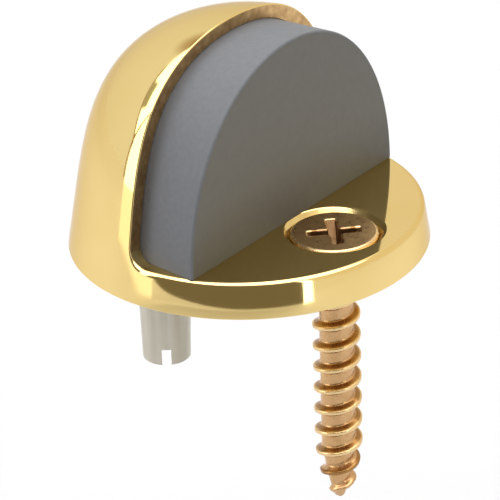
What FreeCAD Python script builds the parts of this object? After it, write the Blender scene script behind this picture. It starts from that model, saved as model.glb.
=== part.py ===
import FreeCAD, Part
import math
import os

# Floor-mounted door stop: a brass half-dome with a rubber bumper, one wood screw and one anchor pin.
# Own frame, millimetres: the origin is the centre of the round base's underside, +Z is up, and -Y is
# the front, the way the bumper faces. The screw and the pin hang below the origin, into the floor.

# ---- driving dimensions: brass body ----
base_radius = 23.8              # 1-7/8 in base
dome_height = 30.9
flange_cut_margin = 0.02        # the edge's cutter starts this far outside the base
wall_draft = 0.165              # how far the side leans in, mm per mm of height
side_exponent = 4.9             # how long the side stays straight before it turns over
crown_exponent = 2.2            # how round the turn to the crown is
flange_thickness = 4.75
flange_edge_round = 0.8
flange_edge_arc = 0.27          # how far the rounding's middle lies inside the edge, as a share of it
hood_rim_y = 1.85               # front plane of the hood
hood_foot_round = 2.5           # where the hood's rim runs out into the flange
hood_wall_side = 2.1
hood_wall_top = 1.75
underside_ring = 3.0            # width of the ring that stands on the floor
underside_relief = 2.0
underside_bar_half = 8.0        # half width of the bar that carries the three bosses
underside_corner = 1.5
pin_boss_radius = 5.2
pin_boss_top = 8.2
pin_boss_side_gap = 0.2         # between the boss and the rubber round it
pin_boss_top_gap = 0.1

# ---- driving dimensions: rubber bumper ----
bumper_front_y = -7.5
bumper_front_half_width = 21.75
bumper_front_top = 29.9
bumper_front_exponent = 2.07
bumper_clearance = 0.05         # between the rubber and the hood
bumper_neck_clearance = 0.10    # the same, in front of the hood's rim plane
bumper_foot_gap = 0.02          # between the rubber and the flange

# ---- driving dimensions: mounting screw ----
screw_y = -13.9
screw_length = 39.6
screw_head_radius = 5.8
screw_head_sink = 0.25          # head face below the flange's top
screw_head_land = 0.55          # cylindrical edge of the head
screw_head_round = 0.42
screw_root_radius = 2.25
screw_crest_radius = 3.18
screw_hole_radius = 3.45
screw_pitch = 3.13
seat_half_angle = 41.0          # 82 degree countersink
seat_gap = 0.08                 # keeps the head's cone just off its seat
thread_turns = 11
thread_end_share = 0.3          # how full the thread is at its two ends
thread_phase = 128.0            # degrees about +Z at which the crest passes phase_height
phase_height = -8.96
gimlet_length = 8.2
gimlet_tip_radius = 0.3
gimlet_power = 0.6
thread_run_in = 0.7             # the thread starts this far above the point
neck_overlap = 1.5              # how far the plain neck runs down inside the thread, in turns
point_overlap = 1.3             # how far the turned point runs up inside it, in turns
crest_half_width = 0.20
foot_half_width = 0.75
core_cover = 0.03               # how far neck and point stand proud of the thread's own core
recess_turn = 45.0              # the cross recess about the screw's axis, degrees
recess_reach = 3.55             # axis to wing tip at the face
recess_width = 1.3
recess_depth = 2.6
recess_core_radius = 1.5
recess_floor_radius = 0.75
recess_wing_floor = 2.0
recess_wing_taper = 0.45        # a wing's length at its floor, as a share of its length at the face
recess_overcut = 0.1            # the recess's cutter starts this far above the face

# ---- driving dimensions: anchor pin ----
pin_y = 14.8
pin_radius = 3.5
pin_tip_radius = 3.25
pin_wall = 1.0
pin_drop = 22.3                 # length below the base
pin_taper_start = 13.0          # below the base
pin_seat_depth = 6.6            # length pressed into the body
pin_seat_radius = 3.1           # the pressed end is turned down
pin_mouth_radius = 3.6          # relief round the pin where it leaves the base
pin_mouth_depth = 0.5
pin_slot_width = 1.35
pin_slot_height = 2.4
pin_slot_turn = 38.0            # the end slot's direction about +Z, degrees
pin_seam_width = 0.10
pin_seam_turn = -122.0

# ---- driving dimensions: bumper fixing ----
fixing_y = 5.5
fixing_thread_radius = 1.5      # M3
fixing_hole_radius = 1.7
fixing_head_radius = 2.8
fixing_head_height = 1.8
fixing_head_round = 0.4
fixing_head_sink = 0.5
fixing_bore_radius = 3.1
fixing_length = 9.0
fixing_drive_radius = 1.25      # hexagon socket, axis to corner
fixing_drive_depth = 1.0
insert_radius = 2.6
insert_flange_radius = 4.0
insert_flange_height = 1.2
insert_length = 8.5
insert_bore_spare = 0.6         # the bore runs on past the screw's tip

# ---- fineness of the curved outlines ----
outline_points = 30
section_points = 48
thread_points_per_turn = 16

V = FreeCAD.Vector
UP = V(0, 0, 1)
ORIGIN = V(0, 0, 0)
REACH = 2 * base_radius         # larger than the part, for half-space cutters


# ---- helpers ----
def line(start, end):
    return Part.makeLine(start, end)


def closed_face(edges):
    return Part.Face(Part.Wire(Part.sortEdges(edges)[0]))


def revolved(edges):
    """Solid of revolution about Z from a closed outline in the XZ plane."""
    return closed_face(edges).revolve(ORIGIN, UP, 360)


def turned(outline, y=0.0):
    """Solid of revolution about a vertical axis, from straight runs between (radius, height) points."""
    corners = [V(radius, 0, height) for radius, height in outline]
    edges = [line(a, b) for a, b in zip(corners, corners[1:] + corners[:1])]
    return revolved(edges).translated(V(0, y, 0))


def cylinder(radius, low, high, y=0.0):
    return Part.makeCylinder(radius, high - low, V(0, y, low), UP)


def block(low, high):
    size = high.sub(low)
    return Part.makeBox(size.x, size.y, size.z, low)


def export(shape, node):
    shape.exportStep(f"parts/{node}.step")


# ---- dome outline, shared by the hood's two faces and the bumper ----
def dome_radius(height, side_inset=0.0, top_inset=0.0):
    """Radius of the dome at a height. The insets give the wall's inner face."""
    share = min(height / (dome_height - top_inset), 1.0)
    side = base_radius - side_inset - wall_draft * height
    return side * (1.0 - share ** side_exponent) ** (1.0 / crown_exponent)


def dome_solid(low, side_inset=0.0, top_inset=0.0):
    """The dome above a height, its outline's points closest together at the crown."""
    top = dome_height - top_inset
    points = []
    for step in range(outline_points):
        height = low + (top - low) * math.sin(0.5 * math.pi * step / outline_points)
        points.append(V(dome_radius(height, side_inset, top_inset), 0, height))
    points.append(V(0, 0, top))
    wall = Part.BSplineCurve()
    wall.interpolate(Points=points)
    floor = line(V(0, 0, low), points[0])
    axis = line(points[-1], V(0, 0, low))
    return revolved([wall.toShape(), floor, axis])


# ---- brass body ----
def hood_feet():
    """Rounded inside corners where the hood's rim meets the flange, one on either side of the rubber."""
    low = flange_thickness - flange_edge_round
    top = flange_thickness
    front = hood_rim_y - hood_foot_round
    shade = hood_foot_round * (1.0 - math.sqrt(0.5))
    arc_end = V(0, hood_rim_y, top + hood_foot_round)
    arc_middle = V(0, hood_rim_y - shade, top + shade)
    arc_start = V(0, front, top)
    corners = [arc_end, V(0, hood_rim_y, low), V(0, front, low), arc_start]
    edges = [line(start, end) for start, end in zip(corners, corners[1:])]
    edges.append(Part.Arc(arc_start, arc_middle, arc_end).toShape())
    feet = closed_face(edges).extrude(V(2 * REACH, 0, 0)).translated(V(-REACH, 0, 0))
    neck = [bumper_section(hood_rim_y, 0.0, bumper_neck_clearance)]
    neck.append(bumper_section(bumper_front_y, 1.0, bumper_neck_clearance))
    return feet.cut(Part.makeLoft(neck, True, True))


def flange_cutter():
    """What is cut away in front of the hood: all above the flange, and the flange's sharp top edge."""
    top = flange_thickness
    low = top - flange_edge_round
    edge_radius = dome_radius(low) + flange_cut_margin
    flat_radius = dome_radius(top) - flange_edge_round
    inset = flange_edge_arc * flange_edge_round
    middle = V(edge_radius - inset, 0, top - inset)
    corner = V(flat_radius, 0, top)
    side = V(edge_radius, 0, low)
    outer = V(REACH, 0, low)
    above = V(REACH, 0, REACH)
    edges = [
        line(V(0, 0, top), corner),
        Part.Arc(corner, middle, side).toShape(),
        line(side, outer),
        line(outer, above),
        line(above, V(0, 0, REACH)),
        line(V(0, 0, REACH), V(0, 0, top)),
    ]
    front = block(V(-REACH, -REACH, 0), V(REACH, hood_rim_y, REACH))
    return revolved(edges).common(front).cut(hood_feet())


def seat_radius(height):
    """Radius of the countersink, set back from the screw head's cone by the seat gap."""
    land_bottom = flange_thickness - screw_head_sink - screw_head_land
    angle = math.radians(seat_half_angle)
    return screw_head_radius + seat_gap / math.cos(angle) + (height - land_bottom) * math.tan(angle)


def screw_hole():
    mouth = flange_thickness + 1.0
    throat = flange_thickness
    throat -= (seat_radius(flange_thickness) - screw_hole_radius) / math.tan(math.radians(seat_half_angle))
    outline = [(0, -1), (screw_hole_radius, -1), (screw_hole_radius, throat), (seat_radius(mouth), mouth)]
    outline.append((0, mouth))
    return turned(outline, screw_y)


def underside_pockets():
    """Two D-shaped reliefs that leave the ring and the bar standing."""
    disc = cylinder(base_radius - underside_ring, -1, underside_relief)
    bar = block(V(-underside_bar_half, -REACH, -2), V(underside_bar_half, REACH, REACH))
    pockets = disc.cut(bar)
    upright = []
    for edge in pockets.Edges:
        along = edge.Vertexes[-1].Point.sub(edge.Vertexes[0].Point)
        if abs(along.z) > 0.9 * along.Length and abs(edge.Vertexes[0].X) < underside_bar_half + 0.1:
            upright.append(edge)
    return pockets.makeFillet(underside_corner, upright)


def fixing_hole():
    """Counterbore and clearance hole for the screw that holds the bumper."""
    bore_top = fixing_head_sink + fixing_head_height
    hole_top = flange_thickness + 1.0
    outline = [(0, -1), (fixing_bore_radius, -1), (fixing_bore_radius, bore_top)]
    outline += [(fixing_hole_radius, bore_top), (fixing_hole_radius, hole_top), (0, hole_top)]
    return turned(outline, fixing_y)


def dome_body():
    body = dome_solid(0.0)
    body = body.cut(flange_cutter())
    body = body.cut(dome_solid(flange_thickness, hood_wall_side, hood_wall_top))
    boss = cylinder(pin_boss_radius, 0.5 * flange_thickness, pin_boss_top, pin_y)
    body = body.fuse(boss.common(dome_solid(0.0, 0.5 * hood_wall_side)))
    body = body.cut(screw_hole())
    body = body.cut(underside_pockets())
    body = body.cut(fixing_hole())
    body = body.cut(cylinder(pin_mouth_radius, -1, pin_mouth_depth, pin_y))
    return body.cut(cylinder(pin_seat_radius, -1, pin_seat_depth, pin_y))


# ---- rubber bumper ----
def height_at(radius, side_inset, top_inset):
    """Height at which the dome has a radius, found by repeated substitution."""
    top = dome_height - top_inset
    height = top
    for _ in range(20):
        side = base_radius - side_inset - wall_draft * height
        height = top * (1.0 - (radius / side) ** crown_exponent) ** (1.0 / side_exponent)
    return height


def bumper_outline(y, flare, room):
    """Arch of the bumper at a depth: flare is 0 at the hood's rim and 1 at the front face."""
    side_inset = hood_wall_side + bumper_neck_clearance - room
    top_inset = hood_wall_top + bumper_neck_clearance - room
    low = flange_thickness + bumper_foot_gap - room
    rim_rise = height_at(hood_rim_y, side_inset, top_inset) - low
    front_rise = bumper_front_top + room - low
    power = 2.0 / bumper_front_exponent
    points = []
    for step in range(section_points + 1):
        angle = math.pi * step / section_points
        side = math.copysign(1.0, math.cos(angle))
        lean = round(abs(math.cos(angle)), 12)
        rise = round(math.sin(angle), 12)
        rim_z = low + rim_rise * rise
        reach = dome_radius(rim_z, side_inset, top_inset)
        rim_x = side * math.sqrt(max(reach ** 2 - hood_rim_y ** 2, 0.0)) if lean else 0.0
        front_x = side * (bumper_front_half_width + room) * lean ** power
        front_z = low + front_rise * rise ** power
        points.append(V(rim_x + flare * (front_x - rim_x), y, rim_z + flare * (front_z - rim_z)))
    return points


def bumper_section(y, flare, room=0.0):
    """Closed outline of the bumper at a depth, grown by room on every side."""
    points = bumper_outline(y, flare, room)
    arch = Part.BSplineCurve()
    arch.interpolate(Points=points)
    return Part.Wire([arch.toShape(), line(points[-1], points[0])])


def rubber_bumper():
    low = flange_thickness + bumper_foot_gap
    plug = dome_solid(low, hood_wall_side + bumper_clearance, hood_wall_top + bumper_clearance)
    plug = plug.common(block(V(-REACH, hood_rim_y, 0), V(REACH, REACH, REACH)))
    sections = [bumper_section(hood_rim_y, 0.0), bumper_section(bumper_front_y, 1.0)]
    bumper = plug.fuse(Part.makeLoft(sections, True, True))
    boss_room = cylinder(pin_boss_radius + pin_boss_side_gap, 0, pin_boss_top + pin_boss_top_gap, pin_y)
    bumper = bumper.cut(boss_room)
    return bumper.cut(insert_outside())


# ---- bumper fixing ----
def insert_outside():
    """Outer shape of the insert, which is also its cavity in the rubber."""
    low = flange_thickness + bumper_foot_gap
    step = low + insert_flange_height
    outline = [(0, low), (insert_flange_radius, low), (insert_flange_radius, step)]
    outline += [(insert_radius, step), (insert_radius, low + insert_length), (0, low + insert_length)]
    return turned(outline, fixing_y)


def bumper_insert():
    bore = cylinder(fixing_thread_radius, 0, fixing_tip() + insert_bore_spare, fixing_y)
    return insert_outside().cut(bore)


def fixing_tip():
    return fixing_head_sink + fixing_head_height + fixing_length


def bumper_screw():
    seat = fixing_head_sink + fixing_head_height
    head = cylinder(fixing_head_radius, fixing_head_sink, seat, fixing_y)
    rim = [edge for edge in head.Edges if abs(edge.CenterOfMass.z - fixing_head_sink) < 0.01]
    head = head.makeFillet(fixing_head_round, rim[:1])
    shank = cylinder(fixing_thread_radius, seat, fixing_tip(), fixing_y)
    corners = []
    for side in range(7):
        angle = math.radians(60 * side)
        x = fixing_drive_radius * math.cos(angle)
        corners.append(V(x, fixing_y + fixing_drive_radius * math.sin(angle), fixing_head_sink - 0.1))
    socket = Part.Face(Part.makePolygon(corners)).extrude(V(0, 0, fixing_drive_depth + 0.1))
    return head.fuse(shank).cut(socket)


# ---- mounting screw ----
def core_radius(above_tip):
    """Radius of the screw's core, with its gimlet point."""
    share = min(max(above_tip / gimlet_length, 0.0), 1.0)
    return gimlet_tip_radius + (screw_root_radius - gimlet_tip_radius) * share ** gimlet_power


def thread_share(turns_done):
    """How full the thread is: it grows over its first turn and fades over its last."""
    return min(1.0, thread_end_share + turns_done, thread_end_share + (thread_turns - turns_done))


def turned_point(tip_height, top_height, oversize):
    """Core of the screw from the point up to a height, turned."""
    outline = []
    top_above = top_height - tip_height
    for step in range(outline_points + 1):
        above = top_above * (step / outline_points) ** 2
        outline.append(V(core_radius(above) + oversize, 0, tip_height + above))
    flank = Part.BSplineCurve()
    flank.interpolate(Points=outline)
    low = V(0, 0, tip_height)
    high = V(0, 0, top_height)
    return revolved([flank.toShape(), line(outline[-1], high), line(high, low), line(low, outline[0])])


def screw_head(face_height, neck_low):
    """Head with a rounded face edge, its seat cone and the plain neck."""
    land_top = face_height - screw_head_round
    land_bottom = face_height - screw_head_land
    neck_radius = screw_root_radius + core_cover
    neck_top = land_bottom - (screw_head_radius - neck_radius) / math.tan(math.radians(seat_half_angle))
    shade = screw_head_round * (1.0 - math.sqrt(0.5))
    round_start = V(screw_head_radius - screw_head_round, 0, face_height)
    round_middle = V(screw_head_radius - shade, 0, face_height - shade)
    round_end = V(screw_head_radius, 0, land_top)
    corners = [
        round_end,
        V(screw_head_radius, 0, land_bottom),
        V(neck_radius, 0, neck_top),
        V(neck_radius, 0, neck_low),
        V(0, 0, neck_low),
        V(0, 0, face_height),
        round_start,
    ]
    edges = [line(start, end) for start, end in zip(corners, corners[1:])]
    edges.append(Part.Arc(round_start, round_middle, round_end).toShape())
    return revolved(edges)


def thread_rail(turn, radial, rise, tip_height):
    """One turn of a line along the thread: radial 0 at its foot and 1 at its crest."""
    points = []
    for step in range(thread_points_per_turn + 1):
        turns_done = turn + step / thread_points_per_turn
        height = tip_height + thread_run_in + screw_pitch * turns_done
        angle = math.radians(thread_phase) + 2.0 * math.pi * (height - phase_height) / screw_pitch
        share = thread_share(turns_done)
        depth = (screw_crest_radius - screw_root_radius) * share * radial
        radius = core_radius(height - tip_height) + depth
        points.append(V(radius * math.cos(angle), radius * math.sin(angle), height + rise * share))
    curve = Part.BSplineCurve()
    curve.interpolate(Points=points, Parameters=[float(step) for step in range(len(points))])
    return curve.toShape()


def end_point(rail, last):
    return rail.Vertexes[-1 if last else 0].Point


def thread_end(feet, profile, axis_low, axis_high, last):
    """Close one end of the threaded rod: a ramp from its edge turn to the axis, and a flat."""
    ramp = Part.makeRuledSurface(feet, line(axis_low, axis_high))
    corners = [axis_low] + [end_point(rail, last) for rail in profile] + [axis_high, axis_low]
    return [ramp, Part.Face(Part.makePolygon(corners))]


def threaded_rod(tip_height):
    """Coarse right-hand wood thread with its core, as one skin of ruled strips."""
    turns = []
    for turn in range(thread_turns):
        turns.append([
            thread_rail(turn, 0.0, -foot_half_width, tip_height),
            thread_rail(turn, 1.0, -crest_half_width, tip_height),
            thread_rail(turn, 1.0, crest_half_width, tip_height),
            thread_rail(turn, 0.0, foot_half_width, tip_height),
        ])
    faces = []
    for rails in turns:
        faces += [Part.makeRuledSurface(a, b) for a, b in zip(rails, rails[1:])]
    for lower, upper in zip(turns, turns[1:]):
        faces.append(Part.makeRuledSurface(lower[3], upper[0]))
    first = turns[0]
    final = turns[-1]
    low_foot = end_point(first[0], False)
    low_axis = V(0, 0, low_foot.z)
    next_axis = V(0, 0, end_point(first[0], True).z)
    faces += thread_end(first[0], first + turns[1][:1], low_axis, next_axis, False)
    top_foot = end_point(final[3], True)
    high_axis = V(0, 0, top_foot.z)
    before_axis = V(0, 0, end_point(final[3], False).z)
    faces += thread_end(final[3], turns[-2][3:] + final, before_axis, high_axis, True)
    shell = Part.makeShell(faces)
    shell.sewShape()
    rod = Part.Solid(shell)
    if rod.Volume < 0:
        rod.reverse()
    return rod


def cross_recess(face_height):
    """Cross recess: four tapered wings round a tapered core."""
    top = face_height + recess_overcut
    low = face_height - recess_depth
    core_slope = (recess_core_radius - recess_floor_radius) / recess_depth
    core_high = recess_core_radius + recess_overcut * core_slope
    recess = Part.makeCone(recess_floor_radius, core_high, top - low, V(0, 0, low), UP)
    wing_low = face_height - recess_wing_floor
    half = 0.5 * recess_width
    for turn in (0.0, 90.0):
        outline = [V(-recess_reach, -half, top), V(recess_reach, -half, top)]
        wing_end = recess_wing_taper * recess_reach
        outline += [V(wing_end, -half, wing_low), V(-wing_end, -half, wing_low)]
        wing = Part.Face(Part.makePolygon(outline + outline[:1])).extrude(V(0, recess_width, 0))
        recess = recess.fuse(wing.rotated(ORIGIN, UP, turn))
    return recess.rotated(ORIGIN, UP, recess_turn)


def mounting_screw():
    face_height = flange_thickness - screw_head_sink
    tip_height = face_height - screw_length
    thread_low = tip_height + thread_run_in
    thread_high = thread_low + screw_pitch * thread_turns
    screw = screw_head(face_height, thread_high - neck_overlap * screw_pitch)
    screw = screw.cut(cross_recess(face_height))
    screw = screw.fuse(threaded_rod(tip_height))
    screw = screw.fuse(turned_point(tip_height, thread_low + point_overlap * screw_pitch, core_cover))
    return screw.translated(V(0, screw_y, 0))


# ---- anchor pin ----
def anchor_pin():
    """Rolled steel tube with a tapered lead end, a slot across that end and a closed seam."""
    inner = pin_radius - pin_wall
    tip = -pin_drop
    outline = [(inner, tip), (pin_tip_radius, tip), (pin_radius, -pin_taper_start), (pin_radius, 0)]
    outline += [(pin_seat_radius, 0), (pin_seat_radius, pin_seat_depth), (inner, pin_seat_depth)]
    pin = turned(outline)
    half = 0.5 * pin_slot_width
    slot = block(V(-REACH, -half, tip - 1), V(REACH, half, tip + pin_slot_height))
    pin = pin.cut(slot.rotated(ORIGIN, UP, pin_slot_turn))
    half = 0.5 * pin_seam_width
    seam = block(V(0, -half, tip - 1), V(REACH, half, pin_seat_depth + 1))
    pin = pin.cut(seam.rotated(ORIGIN, UP, pin_seam_turn))
    return pin.translated(V(0, pin_y, 0))


# ---- export ----
os.makedirs("parts", exist_ok=True)
pieces = {
    "dome_body": dome_body(),
    "rubber_bumper": rubber_bumper(),
    "bumper_insert": bumper_insert(),
    "bumper_screw": bumper_screw(),
    "mounting_screw": mounting_screw(),
    "anchor_pin": anchor_pin(),
}
for node, shape in pieces.items():
    export(shape, node)
    box = shape.BoundBox
    print(node, shape.isValid(), len(shape.Solids), round(shape.Volume, 1), "mm3, z",
          round(box.ZMin, 2), "to", round(box.ZMax, 2))
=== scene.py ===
import math
from itertools import product

import bpy
from mathutils import Matrix, Vector
from mathutils.geometry import tessellate_polygon


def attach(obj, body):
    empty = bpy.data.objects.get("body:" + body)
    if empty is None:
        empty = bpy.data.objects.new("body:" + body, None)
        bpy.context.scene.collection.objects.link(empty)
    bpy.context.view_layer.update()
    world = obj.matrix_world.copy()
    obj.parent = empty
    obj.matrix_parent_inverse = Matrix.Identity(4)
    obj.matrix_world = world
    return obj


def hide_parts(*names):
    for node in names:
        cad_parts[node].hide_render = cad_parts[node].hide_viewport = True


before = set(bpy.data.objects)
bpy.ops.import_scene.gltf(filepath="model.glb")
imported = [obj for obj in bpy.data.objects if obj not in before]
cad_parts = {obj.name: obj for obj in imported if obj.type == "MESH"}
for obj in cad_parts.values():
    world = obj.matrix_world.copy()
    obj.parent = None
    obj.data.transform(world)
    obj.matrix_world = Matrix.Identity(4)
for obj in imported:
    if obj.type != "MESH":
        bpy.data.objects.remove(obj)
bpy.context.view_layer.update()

MM = 0.001

# All lengths below are millimetres. Origin: centre of the base's underside, +Z up, -Y the front.

# ---- brass body ----
base_radius = 23.8
dome_height = 30.86
wall_draft = 0.165
side_exponent = 4.9
crown_exponent = 2.2
flange_thickness = 4.75
flange_edge_round = 0.75
flange_swell = 0.15              # change of the flange side's slope from bottom to top
base_edge_round = 0.12
hood_rim_y = 1.85
hood_foot_round = 2.5
rim_edge_round = 0.16
hood_wall_side = 2.1
hood_wall_top = 1.75
mouth_round = 0.42
underside_ring = 3.0
underside_relief = 2.0
underside_bar_half = 8.0
underside_corner = 1.5
pin_boss_radius = 5.2
pin_boss_top = 8.2
fixing_y = 5.5
fixing_hole_radius = 1.7
fixing_bore_radius = 3.1
fixing_bore_top = 2.3
ground_past_foot = 3             # the rim's ground finish runs this many faces into the foot

# ---- rubber bumper ----
bumper_front_y = -7.5
bumper_front_half_width = 21.75
bumper_front_top = 29.85
bumper_front_exponent = 2.07
bumper_clearance = 0.05
bumper_neck_clearance = 0.10
bumper_foot_gap = 0.02
bumper_edge_round = 0.32
face_shade_low = 4.8              # the front face's painted shade is darkest here, and the face is plain above the next height
face_shade_high = 14.0

# ---- mounting screw ----
screw_y = -13.9
screw_length = 39.6
screw_head_radius = 5.8
screw_head_sink = 0.25
screw_head_land = 0.55
screw_head_round = 0.42
screw_root_radius = 2.25
screw_crest_radius = 3.18
screw_hole_radius = 3.45
screw_pitch = 3.13
seat_half_angle = 41.0
seat_gap = 0.08
thread_turns = 11
thread_end_share = 0.3
thread_phase = 128.0
phase_height = -8.96
gimlet_length = 8.2
gimlet_tip_radius = 0.3
gimlet_power = 0.6
thread_run_in = 0.7
crest_half_width = 0.20
foot_half_width = 0.75
recess_turn = 45.0
recess_reach = 3.55
recess_half_width = 0.68
recess_wing_floor = 2.0
recess_depth = 2.6

# ---- anchor pin ----
pin_y = 14.8
pin_radius = 3.5
pin_seat_radius = 3.1
pin_mouth_radius = 3.6
pin_mouth_depth = 0.5
pin_tip_radius = 3.25
pin_inner_radius = 2.5
pin_drop = 22.3
pin_taper_start = 13.0
pin_seat_depth = 6.6
pin_slot_half = 0.675
pin_slot_height = 2.4
pin_slot_turn = 38.0
pin_seam_turn = -122.0

# ---- camera ----
camera_azimuth = -52.2
camera_elevation = 27.0
camera_roll = -1.8
camera_distance = 536.8
view_width = 65.72               # width of the view at the object
view_right = -0.079              # how far the view's centre lies from the origin
view_up = 1.954
sensor_width = 36.0

tip_height = flange_thickness - screw_head_sink - screw_length
floor_height = -95.0
quarter = 0.5 * math.pi

# ---- details of the screw and the pin ----
tip_round = 0.35                 # height over which the screw's tip rounds off
flank_bend = 0.35                # 0 for straight thread flanks, 1 for an S curve
recess_lip = 0.22                # rounding of the recess's edge
recess_corner_share = 0.55       # both in half widths of a wing
recess_tip_share = 0.35
pin_end_break = 0.12
pin_seam_depth = 0.07
pin_seam_width = 0.09
pin_seat_gap = 0.001             # keep the pin's faces off those of its seat
pin_seat_inset = 0.01
plug_step = 0.02                 # how far the rubber's plug starts behind the rim plane

# ---- fineness of the meshes ----
side_steps = 90                  # along one side of the hood's rim
foot_steps = 14                  # round one foot
front_steps = 70                 # along half of the flange's front
outside_steps = 64
base_edge_steps = 3
trim_edge_steps = 7
rim_face_steps = 4
pocket_steps = 12
hole_steps = 96                  # round the screw's hole
boss_steps = 48                  # round the pin's boss and seat
fixing_steps = 32                # round the bumper screw's hole
arch_steps = 120                 # over the rubber's arch
plug_steps = 12
rubber_edge_steps = 5
screw_steps = 64
pin_half_steps = 40


# ---- mesh building ----
weld_distance = 2e-5             # corners closer than this are one
neighbours = [step for step in product((-1, 0, 1), repeat=3) if any(step)]


class Skin:
    """Collects faces with exact corner normals and welds equal corners."""

    def __init__(self):
        self.index = {}
        self.points = []
        self.faces = []
        self.normals = []
        self.materials = []

    def corner(self, point):
        cell = tuple(round(value / weld_distance) for value in point)
        if cell not in self.index:
            near = [tuple(a + b for a, b in zip(cell, step)) for step in neighbours]
            found = [self.index[place] for place in near if place in self.index]
            if found:
                self.index[cell] = found[0]
            else:
                self.index[cell] = len(self.points)
                self.points.append(Vector(point) * MM)
        return self.index[cell]

    def face(self, corners, material=0):
        """corners: (point, normal) pairs. The winding is set from the normals."""
        ring = []
        for point, normal in corners:
            index = self.corner(point)
            if not ring or (ring[-1][0] != index):
                ring.append((index, Vector(normal)))
        if len(ring) > 1 and ring[0][0] == ring[-1][0]:
            ring.pop()
        if len(set(entry[0] for entry in ring)) < 3 or len(set(entry[0] for entry in ring)) < len(ring):
            return
        places = [self.points[entry[0]] for entry in ring]
        geometric = Vector((0, 0, 0))
        for a, b in zip(places, places[1:] + places[:1]):
            geometric += a.cross(b)
        wanted = sum((entry[1] for entry in ring), Vector((0, 0, 0)))
        if geometric.dot(wanted) < 0:
            ring.reverse()
        self.faces.append([entry[0] for entry in ring])
        self.normals.extend(entry[1].normalized() for entry in ring)
        self.materials.append(material)

    def grid(self, rows, closed=False, material=0):
        """rows of (point, normal) pairs, every row the same length."""
        count = len(rows[0])
        last = count if closed else count - 1
        for low, high in zip(rows, rows[1:]):
            for i in range(last):
                j = (i + 1) % count
                self.face([low[i], low[j], high[j], high[i]], material)

    def fill(self, outline, holes, normal, material=0):
        """Flat face with holes."""
        loops = [[Vector(point) for point in loop] for loop in [outline] + holes]
        corners = [point for loop in loops for point in loop]
        for triangle in tessellate_polygon(loops):
            self.face([(corners[k], normal) for k in triangle], material)

    def turn(self, profile, centre_y, steps, phase=0.0, material=0):
        self.grid(turned_rows(profile, centre_y, steps, phase), True, material)

    def tube(self, radius, ends, centre_y, steps, facing=-1):
        """Round wall between two heights: facing is -1 for a hole and 1 for a boss."""
        self.turn([(radius, height, facing, 0) for height in ends], centre_y, steps)

    def disc(self, radius, height, centre_y, steps, up, hole=None):
        holes = [circle(hole, height, centre_y, steps)] if hole else []
        self.fill(circle(radius, height, centre_y, steps), holes, (0, 0, up))

    def make(self, name):
        mesh = bpy.data.meshes.new(name)
        mesh.from_pydata([tuple(point) for point in self.points], [], self.faces)
        mesh.polygons.foreach_set("use_smooth", [True] * len(self.faces))
        mesh.polygons.foreach_set("material_index", self.materials)
        mesh.normals_split_custom_set([tuple(normal) for normal in self.normals])
        mesh.update()
        return add_item(name, mesh)


def add_item(name, data):
    item = bpy.data.objects.new(name, data)
    bpy.context.scene.collection.objects.link(item)
    return item


def turned_rows(profile, centre_y, steps, phase=0.0):
    """Rows of (point, normal) from (radius, height, radial normal, vertical normal) entries."""
    rows = []
    for radius, height, radial, vertical in profile:
        row = []
        for step in range(steps):
            angle = phase + 2 * math.pi * step / steps
            c, s = math.cos(angle), math.sin(angle)
            row.append(((radius * c, centre_y + radius * s, height), (radial * c, radial * s, vertical)))
        rows.append(row)
    return rows


def circle(radius, height, centre_y, steps, phase=0.0):
    return [point for point, _ in turned_rows([(radius, height, 0, 0)], centre_y, steps, phase)[0]]


def arc_profile(centre_r, centre_z, radius, start, end, steps):
    """Rounded corner of a turned profile. Angles in degrees in the (radius, height) plane."""
    entries = []
    for step in range(steps + 1):
        angle = math.radians(mix(start, end, step / steps))
        c, s = math.cos(angle), math.sin(angle)
        entries.append((centre_r + radius * c, centre_z + radius * s, c, s))
    return entries


def mix(start, end, share):
    return start + (end - start) * share


def smooth(low, high, value):
    share = min(max((value - low) / (high - low), 0.0), 1.0)
    return share * share * (3 - 2 * share)


# ---- dome outline ----
def dome_radius(height, side_inset=0.0, top_inset=0.0):
    share = min(max(height, 0.0) / (dome_height - top_inset), 1.0)
    side = base_radius - side_inset - wall_draft * height
    return side * (1.0 - share ** side_exponent) ** (1.0 / crown_exponent)


def dome_normal(angle, height):
    step = 0.002
    low = max(height - step, 0.0)
    high = min(height + step, dome_height - 1e-6)
    slope = (dome_radius(high) - dome_radius(low)) / (high - low)
    if height >= dome_height - 1e-4:
        return Vector((0, 0, 1))
    if height < flange_thickness:
        # polishing has left the flange's side a little convex in front of the hood
        front = smooth(1.0, -7.0, base_radius * math.sin(angle)) if math.sin(angle) < 0.05 else 0.0
        slope -= flange_swell * front * (height / flange_thickness - 0.5)
    return Vector((math.cos(angle), math.sin(angle), -slope)).normalized()


def height_at(radius, side_inset, top_inset):
    """Height at which the dome has a radius."""
    low, high = 0.0, dome_height - top_inset
    for _ in range(50):
        middle = 0.5 * (low + high)
        if dome_radius(middle, side_inset, top_inset) > radius:
            low = middle
        else:
            high = middle
    return 0.5 * (low + high)


# Chart of the dome: distance along the outline from the base, so that rows spread evenly over the crown.
chart_steps = 600
chart_heights = []
chart_lengths = []
travelled = 0.0
for step in range(chart_steps + 1):
    height = dome_height * math.sin(quarter * step / chart_steps)
    if step:
        previous = chart_heights[-1]
        travelled += math.hypot(height - previous, dome_radius(height) - dome_radius(previous))
    chart_heights.append(height)
    chart_lengths.append(travelled)


def interpolate(value, keys, values):
    if value <= keys[0]:
        return values[0]
    low, high = 0, len(keys) - 1
    if value >= keys[high]:
        return values[high]
    while high - low > 1:
        middle = (low + high) // 2
        if keys[middle] > value:
            high = middle
        else:
            low = middle
    share = (value - keys[low]) / (keys[high] - keys[low])
    return values[low] + share * (values[high] - values[low])


def to_chart(angle, height):
    reach = 1.0 - interpolate(height, chart_heights, chart_lengths) / travelled
    return Vector((reach * math.cos(angle), reach * math.sin(angle)))


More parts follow.
